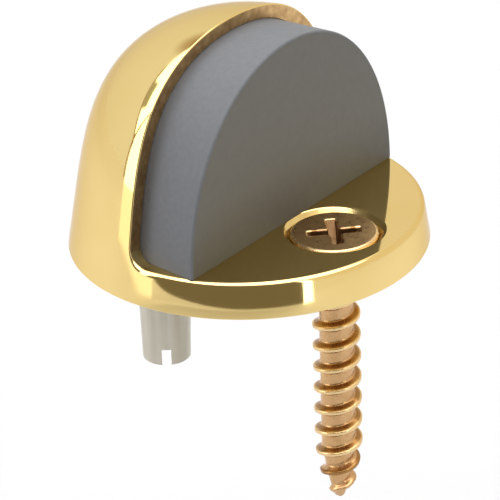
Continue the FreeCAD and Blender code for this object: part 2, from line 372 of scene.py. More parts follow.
def from_chart(place):
    reach = min(place.length, 1.0)
    height = interpolate((1.0 - reach) * travelled, chart_lengths, chart_heights)
    angle = math.atan2(place.y, place.x)
    radius = dome_radius(height)
    return (radius * math.cos(angle), radius * math.sin(angle), height), dome_normal(angle, height)


def half_width(height, y, side_inset=0.0, top_inset=0.0):
    """Half the dome's width at a height, in the plane at y."""
    return math.sqrt(max(dome_radius(height, side_inset, top_inset) ** 2 - y ** 2, 0.0))


def trim_loop():
    """Edge line between the dome's outside and the hood's rim, the feet and the flange's top.

    Starts at the crown, runs down the +X side, across the front and up the -X side. Each entry is the
    sharp edge's point, the normal of the face inside it and the rounding's radius there.
    """
    half = []
    top = height_at(hood_rim_y, 0.0, 0.0)
    foot_top = flange_thickness + hood_foot_round
    for step in range(side_steps):
        height = mix(foot_top, top, math.cos(quarter * step / side_steps))
        place = (half_width(height, hood_rim_y), hood_rim_y, height)
        half.append((place, Vector((0, -1, 0)), rim_edge_round))
    for step in range(foot_steps):
        turn = quarter * step / foot_steps
        y = hood_rim_y - hood_foot_round * (1 - math.cos(turn))
        height = foot_top - hood_foot_round * math.sin(turn)
        cap = Vector((0, -math.cos(turn), math.sin(turn)))
        share = smooth(0.15, 1.0, step / foot_steps)
        half.append(((half_width(height, y), y, height), cap, mix(rim_edge_round, flange_edge_round, share)))
    radius = dome_radius(flange_thickness)
    start = math.asin((hood_rim_y - hood_foot_round) / radius)
    for step in range(front_steps + 1):
        angle = mix(start, -quarter, step / front_steps)
        place = (radius * math.cos(angle), radius * math.sin(angle), flange_thickness)
        half.append((place, Vector((0, 0, 1)), flange_edge_round))
    mirrored = [((-p[0], p[1], p[2]), n, r) for p, n, r in reversed(half[1:-1])]
    return half + mirrored


def rounded_edge(place, cap, radius):
    """Centre of the rounding at an edge point, and the outside's normal there; the contact point is the
    centre plus the radius along that normal.
    """
    angle = math.atan2(place[1], place[0])
    if math.hypot(place[0], place[1]) < 1e-6:
        angle = 0.5 * math.pi
    outside = dome_normal(angle, place[2])
    centre = Vector(place) - radius / (1.0 + outside.dot(cap)) * (outside + cap)
    return centre, outside


def base_angles(loop, contact):
    """Where each column stands on the base circle: spread out behind, under its edge point in front."""
    last = side_steps + foot_steps
    half_count = last + front_steps + 1
    start = math.atan2(loop[last][0][1], loop[last][0][0])
    limit = abs(contact[last].x)

    def spread(i):
        return math.acos(min(abs(contact[i].x) / limit, 1.0) * math.cos(start))

    angles = []
    for i in range(len(loop)):
        j = i if i < half_count else len(loop) - i
        if j < side_steps:
            angle = spread(i)
        elif j <= last:
            angle = mix(spread(side_steps), start, (j - side_steps) / foot_steps)
        else:
            angle = mix(start, -quarter, (j - last) / front_steps)
        angles.append(angle if i < half_count else math.pi - angle)
    return angles


def outside_rows(angles, contact):
    """Outside of the dome and the flange, from the base up to the rounded edge."""
    base_reach = to_chart(0.0, base_edge_round).x
    rows = []
    for step in range(outside_steps + 1):
        row = []
        for angle, end in zip(angles, contact):
            low = Vector((base_reach * math.cos(angle), base_reach * math.sin(angle)))
            row.append(from_chart(low.lerp(end, step / outside_steps)))
        rows.append(row)
    return rows


def base_edge_rows(first_row):
    """Rounding between the outside and the underside."""
    rows = [first_row]
    for step in range(1, base_edge_steps + 1):
        turn = quarter * step / base_edge_steps
        row = []
        for place, normal in first_row:
            direction = (math.cos(turn) * normal + math.sin(turn) * Vector((0, 0, -1))).normalized()
            point = Vector(place) - base_edge_round * normal + base_edge_round * direction
            if step == base_edge_steps:
                point.z = 0.0
            row.append((tuple(point), direction))
        rows.append(row)
    return rows


def trim_edge_rows(loop, first_row):
    """Rounding along the rim, the feet and the flange."""
    rows = [first_row]
    for step in range(1, trim_edge_steps + 1):
        turn = step / trim_edge_steps
        row = []
        for (place, cap, radius), start in zip(loop, first_row):
            centre, outside = rounded_edge(place, cap, radius)
            spread = math.acos(max(min(outside.dot(cap), 1.0), -1.0))
            a = math.sin((1 - turn) * spread) / math.sin(spread)
            b = math.sin(turn * spread) / math.sin(spread)
            direction = (a * outside + b * cap).normalized()
            start_gap = Vector(start[0]) - (centre + radius * outside)
            row.append((tuple(centre + radius * direction + (1 - turn) * start_gap), direction))
        rows.append(row)
    return rows


def rim_and_feet(skin, loop, edge, inner):
    """Rim face and feet, from the rounded edge to the pocket's mouth, and the feet's inner walls."""
    count = len(loop)
    last = side_steps + foot_steps
    for side in (1, -1):
        outer_row = []
        inner_row = []
        for j in range(last + 1):
            i = j if side > 0 else (count - j) % count
            x, y, z = inner[j]
            outer_row.append((edge[i], loop[i][1]))
            inner_row.append(((side * x, y, z), loop[i][1]))
        rows = []
        for step in range(rim_face_steps + 1):
            share = step / rim_face_steps
            pairs = zip(outer_row, inner_row)
            rows.append([(tuple(Vector(a[0]).lerp(Vector(b[0]), share)), a[1]) for a, b in pairs])
        for low, high in zip(rows, rows[1:]):
            for j in range(last):
                ground = 1 if j < side_steps + ground_past_foot else 0
                skin.face([low[j], low[j + 1], high[j + 1], high[j]], ground)
    for side in (1, -1):
        for a, b in zip(inner[side_steps:last], inner[side_steps + 1:]):
            wall = [(a[0], a[1], a[2]), (b[0], b[1], b[2])]
            wall += [(b[0], b[1], flange_thickness), (a[0], a[1], flange_thickness)]
            skin.face([((side * x, y, z), (-side, 0, 0)) for x, y, z in wall])


def pocket_rows(inner):
    """Pocket of the hood, from its mouth back over the inner dome."""
    half = inner[:side_steps + 1]
    half.append((half[-1][0], hood_rim_y, flange_thickness))
    mouth = [(-x, y, z) for x, y, z in reversed(half[1:])] + half
    low_radius = dome_radius(flange_thickness, hood_wall_side, hood_wall_top)
    rise = height_at(hood_rim_y, hood_wall_side, hood_wall_top) - flange_thickness
    rows = [[((x, y, z), (-x, -1, -z + flange_thickness)) for x, y, z in mouth]]
    for step in range(1, pocket_steps + 1):
        y = mix(hood_rim_y, low_radius, math.sin(quarter * step / pocket_steps))
        top = max(height_at(min(y, low_radius - 1e-6), hood_wall_side, hood_wall_top), flange_thickness)
        row = []
        for x0, _, z0 in mouth:
            z = min(flange_thickness + (z0 - flange_thickness) * (top - flange_thickness) / rise, top)
            x = math.copysign(half_width(z, y, hood_wall_side, hood_wall_top), x0) if abs(x0) > 1e-9 else 0.0
            if step == pocket_steps:
                x, z = 0.0, flange_thickness
            row.append(((x, y, z), Vector((-x, -y, -z + flange_thickness + 0.01))))
        rows.append(row)
    return rows


def countersink(skin):
    """Rounded mouth, machined cone and bore of the screw's hole. Returns the mouth's radius."""
    seat_angle = math.radians(seat_half_angle)
    land_bottom = flange_thickness - screw_head_sink - screw_head_land
    mouth_radius = screw_head_radius + seat_gap / math.cos(seat_angle)
    mouth_radius += (flange_thickness - land_bottom) * math.tan(seat_angle)
    centre_r = mouth_radius + mouth_round * math.tan(0.5 * math.radians(90 - seat_half_angle))
    centre_z = flange_thickness - mouth_round
    profile = arc_profile(centre_r, centre_z, mouth_round, 90.0, 180.0 - seat_half_angle, 4)
    throat = flange_thickness - (mouth_radius - screw_hole_radius) / math.tan(seat_angle)
    start_r, start_z = profile[-1][:2]
    cone = [profile[-1]]
    for step in range(7):
        share = step / 6
        cone.append((mix(start_r, screw_hole_radius, share), mix(start_z, throat, share),
                     -math.cos(seat_angle), math.sin(seat_angle)))
    skin.turn(profile, screw_y, hole_steps)
    skin.turn(cone, screw_y, hole_steps, material=2)
    skin.tube(screw_hole_radius, (throat, 0.0), screw_y, hole_steps)
    return profile[0][0]


def flange_top(skin, edge, inner, pocket):
    """Flange's top and the pocket's floor in one face, with the boss of the pin."""
    last = side_steps + foot_steps
    foot = [(x, y, flange_thickness) for x, y, z in inner[side_steps:last + 1]]
    outline = [(p[0], p[1], flange_thickness) for p in edge[last:len(edge) - last + 1]]
    outline += [(-x, y, z) for x, y, z in reversed(foot)]
    outline += [row[0][0] for row in pocket]
    outline += [row[-1][0] for row in reversed(pocket[:-1])]
    outline += foot
    mouth_radius = countersink(skin)
    holes = [circle(mouth_radius, flange_thickness, screw_y, hole_steps)]
    holes.append(circle(pin_boss_radius, flange_thickness, pin_y, boss_steps))
    holes.append(circle(fixing_hole_radius, flange_thickness, fixing_y, fixing_steps))
    skin.fill(without_repeats(outline), holes, (0, 0, 1))
    skin.tube(pin_boss_radius, (flange_thickness, pin_boss_top), pin_y, boss_steps, 1)
    skin.disc(pin_boss_radius, pin_boss_top, pin_y, boss_steps, 1)


def underside(skin, base_ring):
    """Ring and bar that stand on the floor, the two reliefs between them and the holes."""
    skin.tube(pin_mouth_radius, (0.0, pin_mouth_depth), pin_y, boss_steps)
    skin.disc(pin_mouth_radius, pin_mouth_depth, pin_y, boss_steps, -1, pin_seat_radius)
    skin.tube(pin_seat_radius, (pin_mouth_depth, pin_seat_depth), pin_y, boss_steps)
    skin.disc(pin_seat_radius, pin_seat_depth, pin_y, boss_steps, -1)
    skin.tube(fixing_bore_radius, (0.0, fixing_bore_top), fixing_y, fixing_steps)
    skin.disc(fixing_bore_radius, fixing_bore_top, fixing_y, fixing_steps, -1, fixing_hole_radius)
    skin.tube(fixing_hole_radius, (fixing_bore_top, flange_thickness), fixing_y, fixing_steps)
    holes = []
    for side in (1, -1):
        ring = relief_outline(side)
        rows = []
        for height in (0.0, underside_relief):
            rows.append([((x, y, height), wall_normal(ring, k)) for k, (x, y) in enumerate(ring)])
        skin.grid(rows, closed=True)
        skin.fill([(x, y, underside_relief) for x, y in ring], [], (0, 0, -1))
        holes.append([(x, y, 0.0) for x, y in ring])
    holes.append(circle(screw_hole_radius, 0.0, screw_y, hole_steps))
    holes.append(circle(pin_mouth_radius, 0.0, pin_y, boss_steps))
    holes.append(circle(fixing_bore_radius, 0.0, fixing_y, fixing_steps))
    skin.fill(base_ring, holes, (0, 0, -1))


def dome_body():
    skin = Skin()
    loop = trim_loop()
    contact = []
    for place, cap, radius in loop:
        centre, outside = rounded_edge(place, cap, radius)
        touch = centre + radius * outside
        contact.append(to_chart(math.atan2(touch.y, touch.x), touch.z))
    rows = outside_rows(base_angles(loop, contact), contact)
    skin.grid(rows, closed=True)
    base_edge = base_edge_rows(rows[0])
    skin.grid(base_edge, closed=True)
    trim_edge = trim_edge_rows(loop, rows[-1])
    skin.grid(trim_edge, closed=True)
    edge = [Vector(corner[0]) for corner in trim_edge[-1]]
    inner = pocket_mouth()
    rim_and_feet(skin, loop, edge, inner)
    pocket = pocket_rows(inner)
    skin.grid(pocket)
    flange_top(skin, edge, inner, pocket)
    underside(skin, [corner[0] for corner in base_edge[-1]])
    return skin.make("dome_shell")


def without_repeats(points):
    kept = []
    for point in points:
        if not kept or (Vector(point) - Vector(kept[-1])).length > 1e-4:
            kept.append(point)
    if (Vector(kept[0]) - Vector(kept[-1])).length < 1e-4:
        kept.pop()
    return kept


def wall_normal(ring, k):
    """Inward normal of a closed outline at one of its corners."""
    before = Vector((*ring[k - 1], 0))
    after = Vector((*ring[(k + 1) % len(ring)], 0))
    along = after - before
    across = Vector((along.y, -along.x, 0)).normalized()
    centre = Vector((sum(p[0] for p in ring), sum(p[1] for p in ring), 0)) / len(ring)
    if across.dot(centre - Vector((*ring[k], 0))) < 0:
        across = -across
    return across


def relief_outline(side):
    """D-shaped relief in the underside, with rounded corners."""
    radius = base_radius - underside_ring
    corner = underside_corner
    centre_x = underside_bar_half + corner
    centre_y = math.sqrt((radius - corner) ** 2 - centre_x ** 2)
    ring = []
    touch = math.atan2(centre_y, centre_x)
    for step in range(9):
        angle = math.pi + (touch - math.pi) * step / 8
        ring.append((centre_x + corner * math.cos(angle), centre_y + corner * math.sin(angle)))
    for step in range(1, 40):
        angle = touch - 2 * touch * step / 40
        ring.append((radius * math.cos(angle), radius * math.sin(angle)))
    for step in range(9):
        angle = -touch + (-math.pi + touch) * step / 8
        ring.append((centre_x + corner * math.cos(angle), -centre_y + corner * math.sin(angle)))
    return [(side * x, y) for x, y in ring]


def pocket_mouth():
    """Inner line of the rim face on the +X side, and of the foot below it."""
    points = []
    top = height_at(hood_rim_y, hood_wall_side, hood_wall_top)
    foot_top = flange_thickness + hood_foot_round
    for j in range(side_steps + 1):
        turn = quarter * j / side_steps
        height = foot_top + (top - foot_top) * math.cos(turn)
        across = half_width(height, hood_rim_y, hood_wall_side, hood_wall_top) if j else 0.0
        points.append((across, hood_rim_y, height))
    for j in range(1, foot_steps + 1):
        turn = quarter * j / foot_steps
        y = hood_rim_y - hood_foot_round * (1 - math.cos(turn))
        height = foot_top - hood_foot_round * math.sin(turn)
        points.append((bumper_side(y, height) + bumper_neck_clearance, y, height))
    return points


# ---- rubber bumper ----
def rim_section(step_angle):
    side_inset = hood_wall_side + bumper_neck_clearance
    top_inset = hood_wall_top + bumper_neck_clearance
    low = flange_thickness + bumper_foot_gap
    rise = height_at(hood_rim_y, side_inset, top_inset) - low
    height = low + rise * math.sin(step_angle)
    across = half_width(height, hood_rim_y, side_inset, top_inset)
    if abs(math.cos(step_angle)) < 1e-9:
        across = 0.0
    return math.copysign(across, math.cos(step_angle)), height


def front_section(step_angle):
    power = 2.0 / bumper_front_exponent
    low = flange_thickness + bumper_foot_gap
    lean = abs(math.cos(step_angle))
    across = bumper_front_half_width * (lean ** power if lean > 1e-9 else 0.0)
    height = low + (bumper_front_top - low) * math.sin(step_angle) ** power
    return math.copysign(across, math.cos(step_angle)), height


def bumper_point(step_angle, y):
    flare = (hood_rim_y - y) / (hood_rim_y - bumper_front_y)
    rim_x, rim_z = rim_section(step_angle)
    front_x, front_z = front_section(step_angle)
    return Vector((rim_x + flare * (front_x - rim_x), y, rim_z + flare * (front_z - rim_z)))


def bumper_side(y, height):
    """Half width of the bumper's neck at a height."""
    low, high = 0.0, quarter
    for _ in range(40):
        middle = 0.5 * (low + high)
        if bumper_point(middle, y).z < height:
            low = middle
        else:
            high = middle
    return bumper_point(low, y).x


def bumper_normal(step_angle, y):
    step = 0.004
    low = max(step_angle - step, 0.0)
    high = min(step_angle + step, math.pi)
    along = bumper_point(high, y) - bumper_point(low, y)
    back = bumper_point(step_angle, y + 0.01) - bumper_point(step_angle, y - 0.01)
    normal = along.cross(back).normalized()
    centre = Vector((0, y, 12))
    if normal.dot(bumper_point(step_angle, y) - centre) < 0:
        normal = -normal
    return normal


def rubber_bumper():
    skin = Skin()
    low = flange_thickness + bumper_foot_gap
    angles = [math.pi * (step / arch_steps) for step in range(arch_steps + 1)]
    rows = []
    # plug behind the rim plane
    plug_side = hood_wall_side + bumper_clearance
    plug_top = hood_wall_top + bumper_clearance
    reach_low = dome_radius(low, plug_side, plug_top)
    first = hood_rim_y + plug_step
    for step in range(plug_steps, -1, -1):
        y = mix(first, reach_low, math.sin(quarter * step / plug_steps))
        top = max(height_at(min(y, reach_low - 1e-6), plug_side, plug_top), low)
        row = []
        for angle in angles:
            height = low + (top - low) * math.sin(angle)
            across = half_width(height, y, plug_side, plug_top)
            if step == plug_steps or abs(math.cos(angle)) < 1e-9:
                across = 0.0
            place = Vector((math.copysign(across, math.cos(angle)), y, height))
            row.append((tuple(place), (place - Vector((0, 0, 8))).normalized()))
        rows.append(row)
    # neck and flare, then the rounded front edge
    for share in (0.0, 0.1, 0.25, 0.45, 0.65, 0.8, 0.9, 1.0):
        y = hood_rim_y + (bumper_front_y + bumper_edge_round - hood_rim_y) * share
        rows.append([(tuple(bumper_point(angle, y)), bumper_normal(angle, y)) for angle in angles])
    edge_y = bumper_front_y + bumper_edge_round
    for step in range(1, rubber_edge_steps + 1):
        turn = quarter * step / rubber_edge_steps
        row = []
        for angle in angles:
            start = bumper_point(angle, edge_y)
            normal = bumper_normal(angle, edge_y)
            side = Vector((normal.x, 0, normal.z)).normalized()
            place = start - bumper_edge_round * (1 - math.cos(turn)) * side
            place.y = start.y - bumper_edge_round * math.sin(turn)
            place.z = max(place.z, low)
            facing = math.cos(turn) * side + math.sin(turn) * Vector((0, -1, 0))
            row.append((tuple(place), facing.normalized()))
        rows.append(row)
    skin.grid(rows)
    skin.fill([tuple(corner[0]) for corner in rows[-1]], [], (0, -1, 0), 1)
    bottom = [tuple(row[0][0]) for row in rows] + [tuple(row[-1][0]) for row in reversed(rows)]
    skin.fill(without_repeats(bottom), [], (0, 0, -1))
    return skin.make("bumper_rubber")


# ---- mounting screw ----
def core_radius(above_tip):
    share = min(max(above_tip / gimlet_length, 0.0), 1.0)
    radius = gimlet_tip_radius + (screw_root_radius - gimlet_tip_radius) * share ** gimlet_power
    if above_tip < tip_round:
        radius *= min(1.0, math.sqrt(max(above_tip, 0.0) / tip_round))
    return radius


def thread_profile(offset):
    """Thread height, 0 to 1, at an axial distance from the crest's middle."""
    away = abs(offset)
    flank = (foot_half_width - away) / (foot_half_width - crest_half_width)
    share = min(max(flank, 0.0), 1.0)
    return share * share * (3 - 2 * share) * flank_bend + share * (1 - flank_bend)


def screw_radius(angle, height):
    above = height - tip_height
    turns = (height - tip_height - thread_run_in) / screw_pitch
    wound = (height - phase_height) / screw_pitch - (angle - math.radians(thread_phase)) / (2 * math.pi)
    offset = (wound - round(wound)) * screw_pitch
    share = min(1.0, thread_end_share + turns, thread_end_share + (thread_turns - turns))
    if turns < 0:
        share = max(0.0, thread_end_share + 2 * turns)
    if turns > thread_turns:
        share = max(0.0, thread_end_share - 2 * (turns - thread_turns))
    crest = screw_crest_radius - screw_root_radius
    return core_radius(above) + crest * max(share, 0.0) * thread_profile(offset)


def screw_normal(angle, height):
    turn, rise = 0.01, 0.02
    radius = max(screw_radius(angle, height), 0.02)
    around = (screw_radius(angle + turn, height) - screw_radius(angle - turn, height)) / (2 * turn)
    up = (screw_radius(angle, height + rise) - screw_radius(angle, height - rise)) / (2 * rise)
    c, s = math.cos(angle), math.sin(angle)
    lean = around / radius
    return Vector((c + lean * s, s - lean * c, -up)).normalized()


def recess_outline(reach, half, steps=6):
    """Cross with rounded inner corners, one quarter turned four times."""
    corner = recess_corner_share * half
    tip = recess_tip_share * half
    wing = []
    for step in range(steps + 1):
        angle = quarter * step / steps
        wing.append((reach - tip + tip * math.cos(angle), half - tip + tip * math.sin(angle)))
    mirrored = [(x, -y) for x, y in reversed(wing)]
    inner = half + corner
    for step in range(steps + 1):
        angle = -quarter - quarter * step / steps
        wing.append((inner + corner * math.cos(angle), inner + corner * math.sin(angle)))
    ring = []
    for turn in range(4):
        c, s = math.cos(quarter * turn), math.sin(quarter * turn)
        ring += [(c * x - s * y, s * x + c * y) for x, y in mirrored + wing]
    return ring


def mounting_screw():
    skin = Skin()
    face_height = flange_thickness - screw_head_sink
    land_bottom = face_height - screw_head_land
    seat_tangent = math.tan(math.radians(seat_half_angle))
    neck_top = land_bottom - (screw_head_radius - screw_root_radius) / seat_tangent
    steps = screw_steps
    # thread: rows follow the helix, columns cross one pitch
    flank = [crest_half_width + (foot_half_width - crest_half_width) * step / 6 for step in range(7)]
    spans = [-value for value in reversed(flank)] + [-0.5 * crest_half_width, 0.0, 0.5 * crest_half_width]
    spans += flank + [foot_half_width + 0.2, 0.5 * screw_pitch, screw_pitch - foot_half_width - 0.2]
    total_turns = int((neck_top - tip_height) / screw_pitch) + 3
    first = phase_height - screw_pitch * (int((phase_height - tip_height) / screw_pitch) + 2)
    rows = []
    for k in range(steps * total_turns + 1):
        angle = math.radians(thread_phase) + 2 * math.pi * k / steps
        row = []
        for offset in spans + [screw_pitch + spans[0]]:
            height = first + screw_pitch * k / steps + offset
            clamped = min(max(height, tip_height), neck_top)
            radius = screw_radius(angle, clamped)
            normal = screw_normal(angle, clamped)
            if clamped == tip_height:
                radius = 0.0
                normal = Vector((0, 0, -1))
            if clamped == neck_top:
                radius = screw_root_radius
            row.append(((radius * math.cos(angle), screw_y + radius * math.sin(angle), clamped), normal))
        rows.append(row)
    skin.grid(rows)
    # head
    seat_angle = math.radians(seat_half_angle)
    cone = []
    for step in range(6):
        radius = mix(screw_root_radius, screw_head_radius, step / 5)
        height = mix(neck_top, land_bottom, step / 5)
        cone.append((radius, height, math.cos(seat_angle), -math.sin(seat_angle)))
    phase = math.radians(thread_phase)
    skin.turn(cone, screw_y, steps, phase)
    land_top = face_height - screw_head_round
    land = [(screw_head_radius, height, 1, 0) for height in (land_bottom, land_top)]
    skin.turn(land, screw_y, steps, phase)
    rim = arc_profile(screw_head_radius - screw_head_round, land_top, screw_head_round, 0, 90, 6)
    skin.turn(rim, screw_y, steps, phase)
    # cross recess
    levels = []
    for step in range(4):
        turn = quarter * step / 3
        spread = recess_lip * (1 - math.sin(turn))
        drop = recess_lip * (1 - math.cos(turn))
        levels.append((recess_reach + spread, recess_half_width + spread, face_height - drop))
    levels.append((0.5 * recess_reach, 0.8 * recess_half_width, face_height - recess_wing_floor))
    levels.append((0.22 * recess_reach, 0.55 * recess_half_width, face_height - recess_depth))
    c, s = math.cos(math.radians(recess_turn)), math.sin(math.radians(recess_turn))
    rings = []
    for reach, half, height in levels:
        ring = recess_outline(reach, half)
        rings.append([Vector((c * x - s * y, screw_y + s * x + c * y, height)) for x, y in ring])
    # the deeper walls and the floor of the recess take material 2, whose dark colour is painted shade
    for k in range(len(rings) - 1):
        for i in range(len(rings[k])):
            j = (i + 1) % len(rings[k])
            places = ((k, i), (k, j), (k + 1, j), (k + 1, i))
            quad = [(tuple(rings[row][n]), ring_normal(rings, row, n, k)) for row, n in places]
            skin.face(quad, 0 if k < 3 else 2)
    skin.fill([tuple(p) for p in rings[-1]], [], (0, 0, 1), 2)
    outer = [(x, y, face_height) for x, y, z in circle(rim[-1][0], face_height, screw_y, steps, phase)]
    skin.fill(outer, [[tuple(p) for p in rings[0]]], (0, 0, 1), 1)
    return skin.make("screw_plated")


def ring_normal(rings, row, n, k):
    """Normal of the recess wall between rings k and k + 1 at one corner."""
    ring = rings[row]
    along = ring[(n + 1) % len(ring)] - ring[n - 1]
    down = rings[k + 1][n] - rings[k][n]
    normal = along.cross(down)
    if normal.length < 1e-12:
        return Vector((0, 0, 1))
    normal.normalize()
    if normal.z < 0:
        normal = -normal
    return normal


# ---- anchor pin ----
def anchor_pin():
    skin = Skin()
    slot_turn = math.radians(pin_slot_turn)
    seam_turn = math.radians(pin_seam_turn)
    columns = []
    for half_turn in (0, 1):
        centre = slot_turn + math.pi * half_turn
        outer_half = math.asin(pin_slot_half / pin_radius)
        inner_half = math.asin(pin_slot_half / pin_inner_radius)
        for step in range(4):
            share = -1 + 2 * step / 4
            columns.append((centre + outer_half * share, centre + inner_half * share, True))
        for step in range(pin_half_steps):
            share = step / pin_half_steps
            outer = centre + outer_half + (math.pi - 2 * outer_half) * share
            inner = centre + inner_half + (math.pi - 2 * inner_half) * share
            columns.append((outer, inner, False))
    slot_top = -pin_drop + pin_slot_height
    heights = [-pin_drop, -pin_drop + pin_end_break, slot_top - 0.2, slot_top]
    heights += [-17.0, -pin_taper_start - 0.3, -pin_taper_start, -8.0, -4.0, -pin_seat_gap]
    slot_rows = 3
    count = len(columns)
    outer_rows = []
    inner_rows = []
    for height in heights:
        share = min(max((-pin_taper_start - height) / (pin_drop - pin_taper_start), 0.0), 1.0)
        radius = pin_radius + (pin_tip_radius - pin_radius) * share
        if height == -pin_drop:
            radius -= pin_end_break
        slope = (pin_radius - pin_tip_radius) / (pin_drop - pin_taper_start) if share > 0 else 0.0
        outer_row = []
        inner_row = []
        for outer, inner, _ in columns:
            away = math.remainder(outer - seam_turn, 2 * math.pi) * radius
            dip = pin_seam_depth * math.exp(-(away / pin_seam_width) ** 2)
            c, s = math.cos(outer), math.sin(outer)
            tilt = 0.5 if height == -pin_drop else 0.0
            outer_row.append((((radius - dip) * c, pin_y + (radius - dip) * s, height),
                              Vector((c, s, -slope - tilt)).normalized()))
            c, s = math.cos(inner), math.sin(inner)
            inner_row.append(((pin_inner_radius * c, pin_y + pin_inner_radius * s, height), (-c, -s, 0)))
        outer_rows.append(outer_row)
        inner_rows.append(inner_row)
    seat_rows = []
    seated = pin_seat_radius - pin_seat_inset
    for radius, height in ((pin_radius, -pin_seat_gap), (seated, 0.0), (seated, pin_seat_depth)):
        row = []
        for outer, _, _ in columns:
            c, s = math.cos(outer), math.sin(outer)
            row.append(((radius * c, pin_y + radius * s, height), (c, s, 0)))
        seat_rows.append(row)
    top_inner = [((pin_inner_radius * math.cos(i), pin_y + pin_inner_radius * math.sin(i), pin_seat_depth),
                  (-math.cos(i), -math.sin(i), 0)) for _, i, _ in columns]
    for k in range(len(heights) - 1):
        for i in range(count):
            j = (i + 1) % count
            if k < slot_rows and columns[i][2]:
                continue
            for rows in (outer_rows, inner_rows):
                skin.face([rows[k][i], rows[k][j], rows[k + 1][j], rows[k + 1][i]])
    for i in range(count):
        j = (i + 1) % count
        # end ring, slot roof and slot sides
        level = slot_rows if columns[i][2] else 0
        outer, inner = outer_rows[level], inner_rows[level]
        skin.face([(corner[0], (0, 0, -1)) for corner in (outer[i], outer[j], inner[j], inner[i])])
        if columns[i][2] != columns[i - 1][2]:
            side = 1.0 if columns[i][2] else -1.0
            angle = columns[i][0]
            normal = (-math.sin(angle) * side, math.cos(angle) * side, 0)
            for k in range(slot_rows):
                wall = (outer_rows[k][i], inner_rows[k][i], inner_rows[k + 1][i], outer_rows[k + 1][i])
                skin.face([(corner[0], normal) for corner in wall])
        step = [outer_rows[-1][i], outer_rows[-1][j], seat_rows[1][j], seat_rows[1][i]]
        skin.face([(corner[0], (0, 0, 1)) for corner in step])
        skin.face([seat_rows[1][i], seat_rows[1][j], seat_rows[2][j], seat_rows[2][i]])
        skin.face([inner_rows[-1][i], inner_rows[-1][j], top_inner[j], top_inner[i]])
        top = (seat_rows[2][i], seat_rows[2][j], top_inner[j], top_inner[i])
        skin.face([(corner[0], (0, 0, 1)) for corner in top])
    return skin.make("pin_tube")


# ---- materials ----
def add_node(tree, kind, inputs, **settings):
    """Outputs of a new node. Each input is a value or another node's output."""
    node = tree.nodes.new("ShaderNode" + kind)
    for name, value in settings.items():
        setattr(node, name, value)
    for socket, value in inputs.items():
        if isinstance(value, bpy.types.NodeSocket):
            tree.links.new(value, node.inputs[socket])
        else:
            node.inputs[socket].default_value = value
    return node.outputs


class Shade:
    """A procedural Principled material built up a node at a time."""

    def __init__(self, name, **values):
        self.material = bpy.data.materials.new(name)
        self.material.use_nodes = True
        self.tree = self.material.node_tree
        self.shader = self.tree.nodes["Principled BSDF"]
        self.place = self.add("TexCoord", {})["Object"]
        for key, value in values.items():
            self.shader.inputs[key.replace("_", " ")].default_value = value

    def add(self, kind, inputs, **settings):
        return add_node(self.tree, kind, inputs, **settings)

    def noise(self, scale, detail=3.0, stretch=None):
        source = self.place
        if stretch:
            source = self.add("Mapping", {"Vector": source, "Scale": stretch})["Vector"]
        return self.add("TexNoise", {"Vector": source, "Scale": scale, "Detail": detail})["Fac"]

    def ramp(self, source, stops):
        node = self.tree.nodes.new("ShaderNodeValToRGB")
        ramp = node.color_ramp
        for k, (place, colour) in enumerate(stops):
            element = ramp.elements[k] if k < 2 else ramp.elements.new(place)
            element.position = place
            element.color = (*colour, 1.0)
        self.tree.links.new(source, node.inputs["Fac"])
        return node.outputs["Color"]

    def span(self, source, low, high, start=0.3, end=0.7):
        ends = {"From Min": start, "From Max": end, "To Min": low, "To Max": high}
        return self.add("MapRange", {"Value": source, **ends})["Result"]

    def length(self, source):
        return self.add("VectorMath", {0: source}, operation="LENGTH")["Value"]

    def stir(self, source, noise, share):
        """Adds a share of noise to a value."""
        return self.add("Math", {0: noise, 1: share, 2: source}, operation="MULTIPLY_ADD")[0]

    def feed(self, source, socket):
        self.tree.links.new(source, self.shader.inputs[socket])

    def bump(self, source, distance, strength):
        inputs = {"Height": source, "Distance": distance * MM, "Strength": strength}
        self.feed(self.add("Bump", inputs)["Normal"], "Normal")


def clouded(name, noise, dark, light, rough_noise, rough, ends=(0.3, 0.7), **values):
    """Material whose colour and roughness each wander between two values."""
    shade = Shade(name, **values)
    cloud = shade.noise(*noise)
    shade.feed(shade.ramp(cloud, [(ends[0], dark), (ends[1], light)]), "Base Color")
    shade.feed(shade.span(shade.noise(*rough_noise), *rough), "Roughness")
    return shade, cloud


def polished_brass():
    return clouded("polished_brass", (90.0, 4.0), (0.878, 0.664, 0.272), (0.898, 0.686, 0.298),
                   (260.0, 5.0), (0.045, 0.075), (0.35, 0.65),
                   Metallic=1.0, Specular_Tint=(0.80, 0.72, 0.60, 1.0))[0].material


def ground_rim():
    shade, _ = clouded("ground_rim", (900.0, 5.0), (0.46, 0.275, 0.115), (0.74, 0.50, 0.235),
                       (1500.0, 3.0), (0.28, 0.46), Metallic=1.0)
    shade.bump(shade.noise(1600.0, 4.0), 0.03, 0.5)
    return shade.material


def machined_seat():
    return clouded("machined_seat", (700.0, 4.0), (0.80, 0.59, 0.24), (0.88, 0.67, 0.29),
                   (900.0, 4.0), (0.17, 0.26), Metallic=1.0)[0].material


def moulded_rubber():
    shade, _ = clouded("moulded_rubber", (1500.0, 5.0), (0.119, 0.125, 0.136), (0.133, 0.139, 0.150),
                       (900.0, 4.0), (0.52, 0.64), Specular_IOR_Level=0.3)
    shade.bump(shade.noise(3200.0, 4.0), 0.012, 0.3)
    return shade.material


